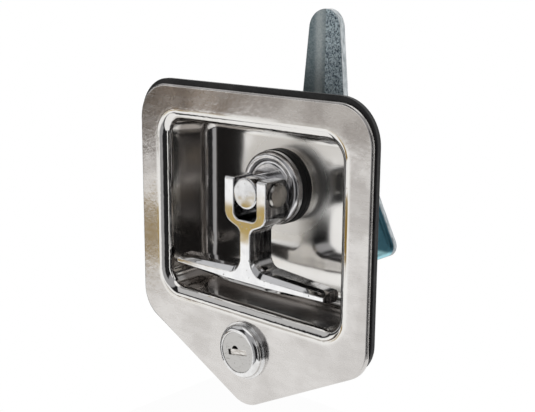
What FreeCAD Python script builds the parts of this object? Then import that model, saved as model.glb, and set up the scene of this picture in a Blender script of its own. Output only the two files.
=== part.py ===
import FreeCAD, Part
import math
import os

# Flush T-handle latch for a door or lid, in millimetres.
# X runs to the right, Y runs into the door and Z runs up.
# The origin is on the spindle's axis, in the plane where the gasket meets the door.

# Pressed face plate and pan
sheet = 1.5
plate_width = 114.0
plate_top = 37.2
plate_shoulder = -54.9
plate_tip = -84.3
plate_top_radius = 14.5
plate_shoulder_radius = 12.7
plate_tip_radius = 12.0
plate_edge_round = 0.9
side_land = 9.5
top_land = 9.3
bottom_land = 6.7
mouth_corner_radius = 11.0
mouth_roll = 4.3
pan_depth = 23.8
pan_draft = 1.0
pan_floor_fillet = 5.5

# Rim gasket
gasket_thickness = 2.2
gasket_side_stand = 0.7
gasket_top_stand = 2.0
gasket_corner_stand = 1.5
gasket_point_inset = 1.9
gasket_mouth_gap = 0.6
gasket_lock_gap = 0.8
gasket_edge_round = 0.5

# Spindle and what turns on it
spindle_diameter = 12.0
running_fit = 0.05
free_gap = 0.1
tongue_width = 11.0
tongue_edge_round = 0.8
spindle_square = 9.4
spindle_thread = 9.6
thread_clearance = 0.2
square_fit = 0.05

# Stack on the pan floor, from the floor forwards
bushing_flange_diameter = 28.4
bushing_flange_thickness = 2.2
seal_diameter = 28.8
seal_thickness = 5.2
cup_diameter = 28.2
cup_height = 3.2
cup_rim_width = 3.9
cup_dish_depth = 0.5
cup_groove_depth = 0.9

# Bushing behind the floor
bushing_diameter = 18.0
bushing_reach = 16.4
bushing_notch_depth = 3.0
stop_dog_angle = 28.0
stop_dog_depth = 2.4
stop_side_gap = 0.5
handle_turn_angle = 90.0
tooth_washer_diameter = 26.0
tooth_washer_thickness = 0.8
tooth_count = 12
bushing_nut_width = 27.0
bushing_nut_thickness = 5.0
ring_groove_depth = 0.9
ring_groove_width = 1.9

# T-handle
ear_reach_front = 6.0
ear_reach_back = 6.8
ear_top = 5.5
ear_width = 21.0
ear_cup_gap = 0.3
ear_straight_bottom = -8.3
yoke_bottom = -10.5
yoke_outer_radius = 5.4
yoke_inner_radius = 2.6
window_bottom = -10.1
window_radius = 2.5
stem_width = 5.4
stem_top = -13.8
stem_flare = 6.0
bar_end_room = 10.3
bar_middle = 19.0
bar_centre = -32.45
bar_front_half_height = 1.2
bar_shoulder_depth = 1.5
bar_shoulder_half_height = 3.15
bar_crest_depth = 4.0
bar_half_height = 3.45
bar_back = 5.8
bar_rear_bevel = 1.2
bar_end_front_half_height = 0.65
bar_end_shoulder_depth = 1.8
bar_end_shoulder_half_height = 1.45
bar_end_crest_depth = 3.8
bar_end_crest_half_height = 2.05
bar_end_half_height = 2.25
bar_end_back = 3.1
bar_end_rear_bevel = 1.3
bar_end_setback = 0.5
casting_round = 0.5
crown_round = 1.0

# Pivot pin
pin_diameter = 6.0
pin_head_diameter = 9.5
pin_head_height = 1.1
pin_head_chamfer = 0.6

# Cam plate, with its arm and its locking lobe
cam_thickness = 3.0
cam_hub_radius = 14.0
arm_length = 65.7
arm_tip_radius = 7.6
arm_root_half_width = 13.4
arm_vee_depth = 1.5
arm_vee_start = 13.0
arm_vee_full = 25.0
lobe_tilt = 26.4
lobe_side = 22.2
lobe_end = 38.55
lobe_width = 32.0
lobe_side_length = 26.0
lobe_corner_radius = 4.5
lobe_front_round = 2.0

# Fasteners behind the cam
stop_washer_diameter = 22.0
stop_washer_thickness = 2.0
stop_washer_gap = 0.2
cam_washer_diameter = 20.0
cam_washer_thickness = 1.6
split_washer_diameter = 16.4
split_washer_thickness = 2.2
split_washer_cut = 1.2
cam_nut_width = 16.0
cam_nut_thickness = 8.0
thread_stand_out = 2.5

# Cylinder lock below the pan
lock_centre = -60.5
bezel_diameter = 22.2
bezel_flange = 0.9
bezel_flange_width = 0.9
bezel_height = 4.1
bezel_mouth_wall = 0.45
lock_body_diameter = 18.8
lock_body_flats = 16.2
lock_body_length = 31.7
lock_head_diameter = 19.0
lock_head_height = 2.3
lock_hole_gap = 0.1
plug_head_diameter = 15.5
plug_head_back = 0.9
plug_core_diameter = 12.6
plug_head_recess = 0.2
plug_rest_turn = 10.0
keyway_width = 9.4
keyway_height = 2.2
notch_radius = 1.6
notch_offset = 1.0
notch_rise = 0.1
notch_depth = 3.0
key_blade_width = 8.2
key_blade_height = 2.0
key_depth = 24.0
shutter_recess = 0.55
shutter_thickness = 0.4
shutter_gap = 0.08
shutter_pocket_depth = 3.6
shutter_barrel = 0.9
wafer_count = 5
wafer_pitch = 3.4
wafer_first = 6.4
wafer_thickness = 1.0
wafer_length = 11.4
wafer_height = 8.2
wafer_fit = 0.05
wafer_spring_diameter = 1.0
wafer_spring_length = 3.6
wafer_spring_gap = 0.06
lock_nut_width = 22.0
lock_nut_thickness = 4.0
pawl_thickness = 2.0
pawl_length = 27.0
pawl_heel = 7.0
pawl_width = 13.0
pawl_tip_width = 10.5
pawl_ramp_start = 9.5
pawl_ramp_run = 8.0
tail_square = 6.4
tail_shoulder_gap = 0.2
pawl_washer_diameter = 10.0
pawl_washer_thickness = 0.8
pawl_screw_diameter = 4.0
pawl_screw_head_diameter = 7.6
pawl_screw_head_height = 2.4
pawl_screw_length = 9.0
pawl_screw_slot = 1.0

# Mouth and bar, which follow the plate
mouth_width = plate_width - 2 * side_land
mouth_top = plate_top - top_land
mouth_bottom = plate_shoulder + bottom_land
bar_length = mouth_width - 2 * bar_end_room

# Places along Y that follow from the sizes above
flange_back = -gasket_thickness
flange_front = flange_back - sheet
floor_front = flange_front + pan_depth
floor_back = floor_front + sheet
bushing_front = floor_front - bushing_flange_thickness
seal_front = bushing_front - seal_thickness
cup_back = seal_front - free_gap
cup_front = cup_back - cup_height
ear_back = cup_front - ear_cup_gap
pin_y = ear_back - ear_reach_back
ear_front = pin_y - ear_reach_front
bushing_end = floor_back + bushing_reach
stop_washer_front = bushing_end + stop_washer_gap
cam_front = stop_washer_front + stop_washer_thickness
cam_back = cam_front + cam_thickness
cam_washer_back = cam_back + cam_washer_thickness
split_washer_back = cam_washer_back + split_washer_thickness
cam_nut_back = split_washer_back + cam_nut_thickness
spindle_end = cam_nut_back + thread_stand_out
lock_body_back = flange_front + lock_body_length
pawl_front = lock_body_back + tail_shoulder_gap
pawl_back = pawl_front + pawl_thickness
pawl_tip_front = cam_front + (cam_thickness - pawl_thickness) / 2
bezel_front = flange_front - bezel_height
plug_front = bezel_front + plug_head_recess
lock_head_front = flange_front - lock_head_height
plug_head_end = flange_front - plug_head_back

# Radii and half widths that several pieces share
spindle_radius = spindle_diameter / 2
spindle_bore = spindle_radius + running_fit
pin_radius = pin_diameter / 2
bushing_radius = bushing_diameter / 2
ear_inner = tongue_width / 2 + free_gap
plug_core_radius = plug_core_diameter / 2
plug_head_radius = plug_head_diameter / 2
lock_body_radius = lock_body_diameter / 2
lock_head_radius = lock_head_diameter / 2
bezel_mouth = plug_head_radius + free_gap
screw_radius = pawl_screw_diameter / 2

ALONG_Y = FreeCAD.Vector(0, 1, 0)


def vec(x, y, z):
    return FreeCAD.Vector(x, y, z)


def rod(radius, y0, y1, x=0.0, z=0.0):
    """A round bar along Y."""
    return Part.makeCylinder(radius, y1 - y0, vec(x, y0, z), ALONG_Y)


def box(x0, x1, y0, y1, z0, z1):
    return Part.makeBox(x1 - x0, y1 - y0, z1 - z0, vec(x0, y0, z0))


def prism(wire, depth):
    """A closed flat wire pushed along Y."""
    return Part.Face(wire).extrude(vec(0, depth, 0))


def rounded_outline(corners, y):
    """A closed wire in the XZ plane at y from (x, z, radius) corners."""
    entry = []
    count = len(corners)
    for i in range(count):
        x, z, radius = corners[i]
        before = corners[i - 1]
        after = corners[(i + 1) % count]
        here = vec(x, y, z)
        to_before = (vec(before[0], y, before[1]) - here).normalize()
        to_after = (vec(after[0], y, after[1]) - here).normalize()
        if radius <= 0:
            entry.append((here, None, here))
            continue
        half = to_before.getAngle(to_after) / 2
        run = radius / math.tan(half)
        middle = (to_before + to_after).normalize()
        reach = radius / math.sin(half) - radius
        entry.append((here + to_before * run, here + middle * reach, here + to_after * run))
    edges = []
    for i in range(count):
        start, middle, end = entry[i]
        if middle is not None:
            edges.append(Part.Arc(start, middle, end).toShape())
        following = entry[(i + 1) % count][0]
        if end.distanceToPoint(following) > 1e-6:
            edges.append(Part.LineSegment(end, following).toShape())
    return Part.Wire(edges)


def rounded_rectangle(x0, x1, z0, z1, radius, y):
    corners = [(x0, z1, radius), (x1, z1, radius), (x1, z0, radius), (x0, z0, radius)]
    return rounded_outline(corners, y)


def turned(profile, x=0.0, z=0.0):
    """A ring or disc from (radius, y) points turned about a line along Y."""
    points = [vec(x + r, y, z) for r, y in profile]
    points.append(points[0])
    face = Part.Face(Part.makePolygon(points))
    return face.revolve(vec(x, 0, z), ALONG_Y, 360)


def hexagon(width, y0, y1, x=0.0, z=0.0):
    """A hexagonal nut blank with a flat side up and chamfered corners."""
    corner_radius = width / math.sqrt(3)
    corners = []
    for i in range(6):
        angle = math.radians(60 * i)
        corners.append((x + corner_radius * math.cos(angle), z + corner_radius * math.sin(angle), 0))
    blank = prism(rounded_outline(corners, y0), y1 - y0)
    chamfer = corner_radius - width / 2
    cone = turned([(0, y0), (corner_radius, y0), (corner_radius, y1 - chamfer * 0.6),
                   (width / 2, y1), (0, y1)], x, z)
    return blank.common(cone)


def square_bar(width, limit_radius, y0, y1, z=0.0):
    """A square shank milled from a round bar."""
    half = width / 2
    return box(-half, half, y0, y1, z - half, z + half).common(rod(limit_radius, y0, y1, 0, z))


def round_loop(shape, radius, plane_y, inside):
    """Round the edges that lie in the plane y, inside or outside a test radius."""
    chosen = []
    for edge in shape.Edges:
        box_of_edge = edge.BoundBox
        if abs(box_of_edge.YMin - plane_y) < 1e-4 and abs(box_of_edge.YMax - plane_y) < 1e-4:
            middle = edge.valueAt((edge.FirstParameter + edge.LastParameter) / 2)
            if inside(middle):
                chosen.append(edge)
    return shape.makeFillet(radius, chosen)


def export(shape, node):
    clean = shape.removeSplitter() if len(shape.Solids) == 1 else shape
    clean.exportStep("parts/" + node + ".step")


def plate_outline(side, top, shoulder, tip, radii, y):
    top_radius, shoulder_radius, tip_radius = radii
    corners = [(-side, top, top_radius), (side, top, top_radius), (side, shoulder, shoulder_radius),
               (0, tip, tip_radius), (-side, shoulder, shoulder_radius)]
    return rounded_outline(corners, y)


def inside_mouth(point):
    return abs(point.x) < mouth_width / 2 and mouth_bottom < point.z < mouth_top


def make_face_pan():
    """One sheet: the flange with its pointed foot, the rolled lip and the drawn pan."""
    radii = (plate_top_radius, plate_shoulder_radius, plate_tip_radius)
    flange = prism(plate_outline(plate_width / 2, plate_top, plate_shoulder, plate_tip, radii,
                                 flange_front), sheet)
    wall = mouth_width / 2 - mouth_roll
    top = mouth_top - mouth_roll
    bottom = mouth_bottom + mouth_roll
    radius = mouth_corner_radius - mouth_roll
    solids = []
    for grow, front, back in ((sheet, flange_back, floor_back), (0.0, flange_front, floor_front)):
        near = rounded_rectangle(-wall - grow, wall + grow, bottom - grow, top + grow,
                                 radius + grow, front)
        far = rounded_rectangle(-wall - grow + pan_draft, wall + grow - pan_draft,
                                bottom - grow + pan_draft, top + grow - pan_draft,
                                radius + grow, back)
        drawn = Part.makeLoft([near, far], True, True)
        solids.append(round_loop(drawn, pan_floor_fillet + grow, back, inside_mouth))
    outer, inner = solids
    pan = flange.fuse(outer).removeSplitter().cut(inner)
    pan = round_loop(pan, mouth_roll, flange_front, inside_mouth)
    pan = round_loop(pan, mouth_roll - sheet, flange_back, inside_mouth)
    pan = round_loop(pan, plate_edge_round, flange_front, lambda p: not inside_mouth(p))
    pan = pan.cut(rod(bushing_radius + running_fit, floor_front - 1, floor_back + 1))
    return pan.cut(lock_body_prism(lock_hole_gap, flange_front - 1, flange_back + 1))


def make_rim_gasket():
    """Moulded rubber frame behind the flange, open round the pan and the lock."""
    radii = (plate_top_radius + gasket_corner_stand, plate_shoulder_radius, plate_tip_radius)
    side = plate_width / 2 + gasket_side_stand
    outline = plate_outline(side, plate_top + gasket_top_stand, plate_shoulder + gasket_point_inset,
                            plate_tip + 2 * gasket_point_inset, radii, flange_back)
    gasket = prism(outline, gasket_thickness)
    gasket = round_loop(gasket, gasket_edge_round, 0.0, lambda p: True)
    half = mouth_width / 2 + gasket_mouth_gap
    opening = rounded_rectangle(-half, half, mouth_bottom - gasket_mouth_gap,
                                mouth_top + gasket_mouth_gap,
                                mouth_corner_radius + gasket_mouth_gap, flange_back)
    gasket = gasket.cut(prism(opening, gasket_thickness))
    lock_room = lock_nut_width / math.sqrt(3) + gasket_lock_gap
    return gasket.cut(rod(lock_room, flange_back, 0, 0, lock_centre))


def make_spindle_bushing():
    """Flanged sleeve through the floor; its end is notched for the stop dog."""
    sleeve = rod(bushing_flange_diameter / 2, bushing_front, floor_front)
    sleeve = sleeve.makeFillet(0.4, [e for e in sleeve.Edges if abs(e.BoundBox.YMax - bushing_front) < 1e-4])
    sleeve = sleeve.fuse(rod(bushing_radius, floor_front, bushing_end))
    sleeve = sleeve.cut(rod(spindle_bore, bushing_front - 1, bushing_end + 1))
    notch_angle = handle_turn_angle + stop_dog_angle + 2 * stop_side_gap
    start = -stop_side_gap - stop_dog_angle / 2
    notch = sector(start, notch_angle, spindle_bore - 1, bushing_radius + 1,
                   bushing_end - bushing_notch_depth, bushing_end + 1)
    return sleeve.cut(notch)


def sector(start, sweep, inner, outer, y0, y1):
    """A ring sector; angles run clockwise from straight up, seen from the front."""
    ring = turned([(inner, y0), (outer, y0), (outer, y1), (inner, y1)])
    steps = 12
    points = [vec(0, y0, 0)]
    for i in range(steps + 1):
        angle = math.radians(start + sweep * i / steps)
        points.append(vec(3 * outer * math.sin(angle), y0, 3 * outer * math.cos(angle)))
    points.append(points[0])
    wedge = Part.Face(Part.makePolygon(points)).extrude(vec(0, y1 - y0, 0))
    return ring.common(wedge)


def make_tooth_washer():
    """Internal-tooth lock washer under the bushing nut."""
    y1 = floor_back + tooth_washer_thickness
    washer = rod(tooth_washer_diameter / 2, floor_back, y1)
    root = bushing_radius + 2.0
    tooth_half = math.radians(360 / tooth_count * 0.27)
    opening = rod(root, floor_back - 1, y1 + 1)
    for i in range(tooth_count):
        angle = 2 * math.pi * i / tooth_count
        corners = []
        for r, side in ((root + 1, -1), (root + 1, 1), (bushing_radius, 0.7), (bushing_radius, -0.7)):
            corners.append(((r * math.sin(angle + side * tooth_half)),
                            (r * math.cos(angle + side * tooth_half)), 0))
        opening = opening.cut(prism(rounded_outline(corners, floor_back - 1),
                                    tooth_washer_thickness + 2))
    opening = opening.fuse(rod(bushing_radius + free_gap, floor_back - 1, y1 + 1))
    return washer.cut(opening)


def make_bushing_nut():
    y0 = floor_back + tooth_washer_thickness
    nut = hexagon(bushing_nut_width, y0, y0 + bushing_nut_thickness)
    return nut.cut(rod(bushing_radius + running_fit, y0 - 1, y0 + bushing_nut_thickness + 1))


def make_seal():
    """Rubber disc squeezed between the bushing flange and the cup."""
    seal = rod(seal_diameter / 2, seal_front, bushing_front)
    rims = [e for e in seal.Edges if e.BoundBox.YLength < 1e-4]
    seal = seal.makeFillet(0.6, rims)
    groove = turned([(seal_diameter / 2 - 0.35, seal_front + seal_thickness * 0.5),
                     (seal_diameter / 2 + 0.5, seal_front + seal_thickness * 0.5 - 0.5),
                     (seal_diameter / 2 + 0.5, seal_front + seal_thickness * 0.5 + 0.5)])
    return seal.cut(groove).cut(rod(spindle_radius + free_gap, seal_front - 1, bushing_front + 1))


def make_cup_washer():
    """Polished cup: rolled rim, a groove inside it and a shallow dish for the ears."""
    outer = cup_diameter / 2
    rim_inner = outer - cup_rim_width
    rim_middle = outer - cup_rim_width / 2
    dish = cup_front + cup_dish_depth
    groove = cup_front + cup_groove_depth
    edges = []
    stops = [vec(spindle_bore, cup_back, 0), vec(spindle_bore, dish, 0), vec(rim_inner - 1.1, dish, 0)]
    for i in range(2):
        edges.append(Part.LineSegment(stops[i], stops[i + 1]).toShape())
    edges.append(Part.Arc(stops[2], vec(rim_inner - 0.45, (dish + groove) / 2 + 0.12, 0),
                          vec(rim_inner, groove, 0)).toShape())
    edges.append(Part.Arc(vec(rim_inner, groove, 0), vec(rim_middle - 0.3, cup_front, 0),
                          vec(outer, cup_front + 1.7, 0)).toShape())
    edges.append(Part.LineSegment(vec(outer, cup_front + 1.7, 0), vec(outer, cup_back, 0)).toShape())
    edges.append(Part.LineSegment(vec(outer, cup_back, 0), stops[0]).toShape())
    return Part.Face(Part.Wire(edges)).revolve(vec(0, 0, 0), ALONG_Y, 360)


def make_spindle():
    """Round bar: flatted tongue in front, then a square shank and a threaded end."""
    spindle = rod(spindle_radius, ear_front, stop_washer_front)
    spindle = spindle.makeFillet(tongue_edge_round,
                                 [e for e in spindle.Edges if abs(e.BoundBox.YMax - ear_front) < 1e-4])
    half = tongue_width / 2
    tongue_end = ear_back + free_gap
    for x0, x1 in ((-spindle_diameter, -half), (half, spindle_diameter)):
        spindle = spindle.cut(box(x0, x1, ear_front - 1, tongue_end, -spindle_diameter, spindle_diameter))
    spindle = spindle.fuse(square_bar(spindle_square, spindle_radius, stop_washer_front, cam_back))
    spindle = spindle.fuse(rod(spindle_thread / 2, cam_back, spindle_end))
    spindle = spindle.cut(o_ring_groove())
    pin_hole = Part.makeCylinder(pin_radius, spindle_diameter * 2, vec(-spindle_diameter, pin_y, 0),
                                 vec(1, 0, 0))
    return spindle.cut(pin_hole)


def o_ring_middle():
    return (floor_front + bushing_end) / 2


def o_ring_groove():
    middle = o_ring_middle()
    half = ring_groove_width / 2
    inner = spindle_radius - ring_groove_depth
    return turned([(inner, middle - half), (spindle_radius + 1, middle - half),
                   (spindle_radius + 1, middle + half), (inner, middle + half)])


def make_o_ring():
    """Rubber ring in the spindle's groove, touching the sleeve's bore."""
    section = (ring_groove_depth + running_fit) / 2 - 0.01
    centre = spindle_radius - ring_groove_depth + section + 0.005
    return Part.makeTorus(centre, section, vec(0, o_ring_middle(), 0), ALONG_Y)


def make_pivot_pin():
    """Cross pin with a rivet head against each ear."""
    reach = ear_width / 2 + free_gap
    pin = Part.makeCylinder(pin_radius, 2 * reach, vec(-reach, pin_y, 0), vec(1, 0, 0))
    for side in (-1, 1):
        head = Part.makeCylinder(pin_head_diameter / 2, pin_head_height, vec(side * reach, pin_y, 0),
                                 vec(side, 0, 0))
        face_x = side * (reach + pin_head_height)
        rim = [e for e in head.Edges
               if abs(e.BoundBox.XMin - face_x) < 1e-4 and abs(e.BoundBox.XMax - face_x) < 1e-4]
        pin = pin.fuse(head.makeChamfer(pin_head_chamfer, rim))
    return pin


def yoke_outline():
    """Front view of the ears and the yoke down to the top of the stem."""
    half_ear = ear_width / 2
    half_stem = stem_width / 2
    left = [(-half_ear, ear_top, 0), (-half_ear, yoke_bottom, yoke_outer_radius),
            (-half_stem, stem_top, yoke_inner_radius), (-half_stem, stem_overlap(), 0)]
    right = [(-x, z, radius) for x, z, radius in reversed(left)]
    return rounded_outline(left + right, ear_front)


def stem_overlap():
    """Height where the yoke and the stem are joined, below the yoke's lower arcs."""
    return stem_top - yoke_inner_radius


def stem_section(y, landing):
    """Front view of the stem at depth y, its foot flaring out on the bar at landing."""
    half_stem = stem_width / 2
    foot = half_stem + stem_flare + 0.2
    left = [(-half_stem, stem_overlap(), 0), (-half_stem, landing, stem_flare), (-foot, landing, 0),
            (-foot, bar_centre, 0)]
    right = [(-x, z, radius) for x, z, radius in reversed(left)]
    return rounded_outline(left + right, y)


def ear_side_view():
    """Side view of the ears: round behind the pin, flat in front and on top."""
    lower_back = pin_y + bar_back
    points = [vec(0, ear_front, ear_top), vec(0, ear_front, bar_centre), vec(0, lower_back, bar_centre),
              vec(0, lower_back, stem_top), vec(0, ear_back, ear_straight_bottom), vec(0, ear_back, 0)]
    edges = []
    for i in range(len(points) - 1):
        edges.append(Part.LineSegment(points[i], points[i + 1]).toShape())
    start = math.acos(ear_top / ear_reach_back)
    ends = []
    for angle in (start, (start + math.pi / 2) / 2):
        ends.append(vec(0, pin_y + ear_reach_back * math.sin(angle), ear_reach_back * math.cos(angle)))
    edges.append(Part.Arc(points[-1], ends[1], ends[0]).toShape())
    edges.append(Part.LineSegment(ends[0], points[0]).toShape())
    return Part.Wire(edges)


def make_t_handle():
    """Plated casting: two ears, a narrow stem and a tapered bar with bevelled edges."""
    depth = ear_back - ear_front
    side = Part.Face(ear_side_view()).extrude(vec(ear_width, 0, 0))
    side.translate(vec(-ear_width / 2, 0, 0))
    yoke = prism(yoke_outline(), depth).common(side)
    crown = [e for e in yoke.Edges if e.BoundBox.YMax < ear_front + 1e-3
             and e.BoundBox.ZMin > ear_top - 1e-3]
    yoke = yoke.makeFillet(crown_round, crown)
    window = rounded_outline([(-ear_inner, ear_top + 5, 0), (ear_inner, ear_top + 5, 0),
                              (ear_inner, window_bottom, window_radius),
                              (-ear_inner, window_bottom, window_radius)], ear_front - 1)
    yoke = yoke.cut(prism(window, depth + 2))
    landings = [stem_section(y, bar_centre + half_height) for y, half_height in bar_middle_half_ring()]
    stem = Part.makeLoft(landings, True, True)
    body = yoke.fuse(stem).removeSplitter()
    front_edges = []
    for edge in body.Edges:
        bound = edge.BoundBox
        if (bound.YMax < ear_front + 1e-3 and bound.ZMax < ear_top - crown_round - 1e-3
                and bound.ZMin > bar_centre + 1e-3):
            front_edges.append(edge)
    body = body.makeFillet(casting_round, front_edges)
    pin_hole = Part.makeCylinder(pin_radius + running_fit, ear_width * 2, vec(-ear_width, pin_y, 0),
                                 vec(1, 0, 0))
    return body.fuse(t_bar()).cut(pin_hole)


def bar_middle_half_ring():
    """Depths and half heights round the upper half of the bar where the stem lands."""
    back = pin_y + bar_back
    return [(ear_front, bar_front_half_height), (ear_front + bar_shoulder_depth, bar_shoulder_half_height),
            (ear_front + bar_crest_depth, bar_half_height), (back - bar_rear_bevel, bar_half_height),
            (back, bar_half_height - bar_rear_bevel)]


def bar_end_half_ring():
    """The same at the bar's ends, which are lower, thinner and rounder."""
    front = ear_front + bar_end_setback
    back = pin_y + bar_end_back
    return [(front, bar_end_front_half_height),
            (front + bar_end_shoulder_depth, bar_end_shoulder_half_height),
            (front + bar_end_crest_depth, bar_end_crest_half_height),
            (back - bar_end_rear_bevel, bar_end_half_height),
            (back, bar_end_half_height - bar_end_rear_bevel)]


def bar_section(x, half_ring):
    """One cross-section of the bar at x; its lower half mirrors the upper half."""
    points = [vec(x, y, bar_centre + z) for y, z in half_ring]
    points += [vec(x, y, bar_centre - z) for y, z in reversed(half_ring)]
    return Part.makePolygon(points + [points[0]])


def t_bar():
    """The bar: straight where the stem lands, then tapering to both ends."""
    half = bar_length / 2
    landing = bar_middle / 2
    middle = bar_middle_half_ring()
    end = bar_end_half_ring()
    return Part.makeLoft([bar_section(-half, end), bar_section(-landing, middle),
                          bar_section(landing, middle), bar_section(half, end)], True, True)


def square_hole(front, back):
    return square_bar(spindle_square + 2 * square_fit, spindle_radius + square_fit, front - 1, back + 1)


def make_stop_washer():
    """Washer keyed to the shank, with a dog that runs in the bushing's notch."""
    washer = rod(stop_washer_diameter / 2, stop_washer_front, cam_front)
    dog = sector(-stop_dog_angle / 2, stop_dog_angle, spindle_bore + 0.4, bushing_radius - free_gap,
                 stop_washer_front - stop_dog_depth, stop_washer_front)
    return washer.fuse(dog).cut(square_hole(stop_washer_front - stop_dog_depth, cam_front))


def cam_arm_outline():
    """Front view of the arm: two tapering sides joined by a round tip."""
    tip_centre = arm_length - arm_tip_radius
    slope = math.asin((arm_root_half_width - arm_tip_radius) / tip_centre)
    touch_x = arm_tip_radius * math.cos(slope)
    touch_z = tip_centre + arm_tip_radius * math.sin(slope)
    left = vec(-touch_x, cam_front - 1, touch_z)
    right = vec(touch_x, cam_front - 1, touch_z)
    root_left = vec(-arm_root_half_width, cam_front - 1, 0)
    root_right = vec(arm_root_half_width, cam_front - 1, 0)
    top = vec(0, cam_front - 1, arm_length)
    edges = [Part.LineSegment(root_left, left).toShape(), Part.Arc(left, top, right).toShape(),
             Part.LineSegment(right, root_right).toShape(),
             Part.LineSegment(root_right, root_left).toShape()]
    return Part.Wire(edges)


def vee_section(z, depth):
    """The arm's sheet cut across: flat at depth 0, else folded along its middle."""
    reach = cam_hub_radius + 1
    points = [vec(-reach, cam_front, z), vec(0, cam_front + depth, z), vec(reach, cam_front, z),
              vec(reach, cam_back, z), vec(0, cam_back + depth, z), vec(-reach, cam_back, z)]
    return Part.makePolygon(points + [points[0]])


def lobe_outline():
    """Square-cornered lobe that the lock's pawl stops; it hangs below the hub to the right."""
    tilt = math.radians(lobe_tilt)
    across = vec(math.cos(tilt), 0, math.sin(tilt))
    down = vec(math.sin(tilt), 0, -math.cos(tilt))
    corner = across * lobe_side + down * lobe_end
    inner_corner = corner - across * lobe_width
    upper = corner - down * lobe_side_length
    return rounded_outline([(upper.x, upper.z, 5.0), (corner.x, corner.z, lobe_corner_radius),
                            (inner_corner.x, inner_corner.z, 3.0), (-cam_hub_radius * 0.4, 0, 0),
                            (0, cam_hub_radius * 0.8, 0)], cam_front)


def make_cam_arm():
    """Plated steel plate: hub, locking lobe and a long arm stiffened by a fold."""
    flat_part = rod(cam_hub_radius, cam_front, cam_back).fuse(prism(lobe_outline(), cam_thickness))
    root = Part.makeLoft([vee_section(0, 0), vee_section(arm_vee_start, 0)], True, True)
    fold = Part.makeLoft([vee_section(arm_vee_start, 0), vee_section(arm_vee_full, arm_vee_depth)],
                         True, True)
    tip = Part.makeLoft([vee_section(arm_vee_full, arm_vee_depth),
                         vee_section(arm_length + 1, arm_vee_depth)], True, True)
    arm = root.fuse([fold, tip]).common(prism(cam_arm_outline(), cam_thickness + arm_vee_depth + 2))
    lobe_edges = []
    flat_part = flat_part.removeSplitter()
    for edge in flat_part.Edges:
        bound = edge.BoundBox
        if bound.YMax < cam_front + 1e-4 and bound.ZMax < 1.0 and bound.XMax > cam_hub_radius:
            lobe_edges.append(edge)
    flat_part = flat_part.makeFillet(lobe_front_round, lobe_edges)
    return flat_part.fuse(arm).cut(square_hole(cam_front, cam_back))


def make_cam_washer():
    washer = rod(cam_washer_diameter / 2, cam_back, cam_washer_back)
    return washer.cut(rod(spindle_thread / 2 + thread_clearance, cam_back - 1, cam_washer_back + 1))


def make_split_washer():
    """Spring lock washer, cut through at one side."""
    washer = rod(split_washer_diameter / 2, cam_washer_back, split_washer_back)
    bore = rod(spindle_thread / 2 + thread_clearance, cam_washer_back - 1, split_washer_back + 1)
    cut = box(-split_washer_cut / 2, split_washer_cut / 2, cam_washer_back - 1, split_washer_back + 1,
              0, split_washer_diameter)
    return washer.cut(bore).cut(cut)


def make_cam_nut():
    nut = hexagon(cam_nut_width, split_washer_back, cam_nut_back)
    return nut.cut(rod(spindle_thread / 2 + running_fit, split_washer_back - 1, cam_nut_back + 1))


def lock_body_prism(gap, y0, y1):
    """Round barrel with two flats, as long as asked."""
    half = lock_body_flats / 2 + gap
    barrel = rod(lock_body_radius + gap, y0, y1, 0, lock_centre)
    reach = lock_body_diameter
    return barrel.common(box(-half, half, y0, y1, lock_centre - reach, lock_centre + reach))


def make_lock_housing():
    """Cylinder body: a head under the bezel, a flatted barrel and two wafer channels."""
    body = lock_body_prism(0, flange_front, lock_body_back)
    body = body.fuse(rod(lock_head_radius, lock_head_front, flange_front, 0, lock_centre))
    body = body.cut(rod(plug_head_radius + free_gap, lock_head_front - 1, plug_head_end + free_gap, 0,
                        lock_centre))
    body = body.cut(rod(plug_core_radius + running_fit, flange_front - 2, lock_body_back + 1, 0,
                        lock_centre))
    channel_half = wafer_height / 2 + 0.3
    first = flange_front + wafer_first - wafer_thickness
    last = first + wafer_count * wafer_pitch
    channel_reach = plug_core_radius + 1.0
    return body.cut(box(-channel_reach, channel_reach, first, last, lock_centre - channel_half,
                        lock_centre + channel_half))


def make_lock_bezel():
    """Domed trim ring over the lock's head, with a thin flange on the plate."""
    outer = bezel_diameter / 2
    dome_foot = outer - bezel_flange_width
    lip = bezel_mouth + bezel_mouth_wall
    step = flange_front - bezel_flange
    pocket = lock_head_radius + free_gap
    pocket_front = lock_head_front - free_gap
    line = Part.LineSegment
    dome_middle = vec((dome_foot + lip) / 2 + 0.55, (step + bezel_front) / 2 - 0.75, 0)
    corners = [vec(pocket, flange_front, 0), vec(outer, flange_front, 0), vec(outer, step, 0),
               vec(dome_foot, step, 0), vec(lip, bezel_front, 0), vec(bezel_mouth, bezel_front, 0),
               vec(bezel_mouth, pocket_front, 0), vec(pocket, pocket_front, 0)]
    edges = [line(corners[0], corners[1]).toShape(), line(corners[1], corners[2]).toShape(),
             line(corners[2], corners[3]).toShape(),
             Part.Arc(corners[3], dome_middle, corners[4]).toShape()]
    for i in range(4, 8):
        edges.append(line(corners[i], corners[(i + 1) % 8]).toShape())
    ring = Part.Face(Part.Wire(edges)).revolve(vec(0, 0, 0), ALONG_Y, 360)
    ring.translate(vec(0, 0, lock_centre))
    return ring


def wafer_fronts():
    return [flange_front + wafer_first + wafer_pitch * i for i in range(wafer_count)]


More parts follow.
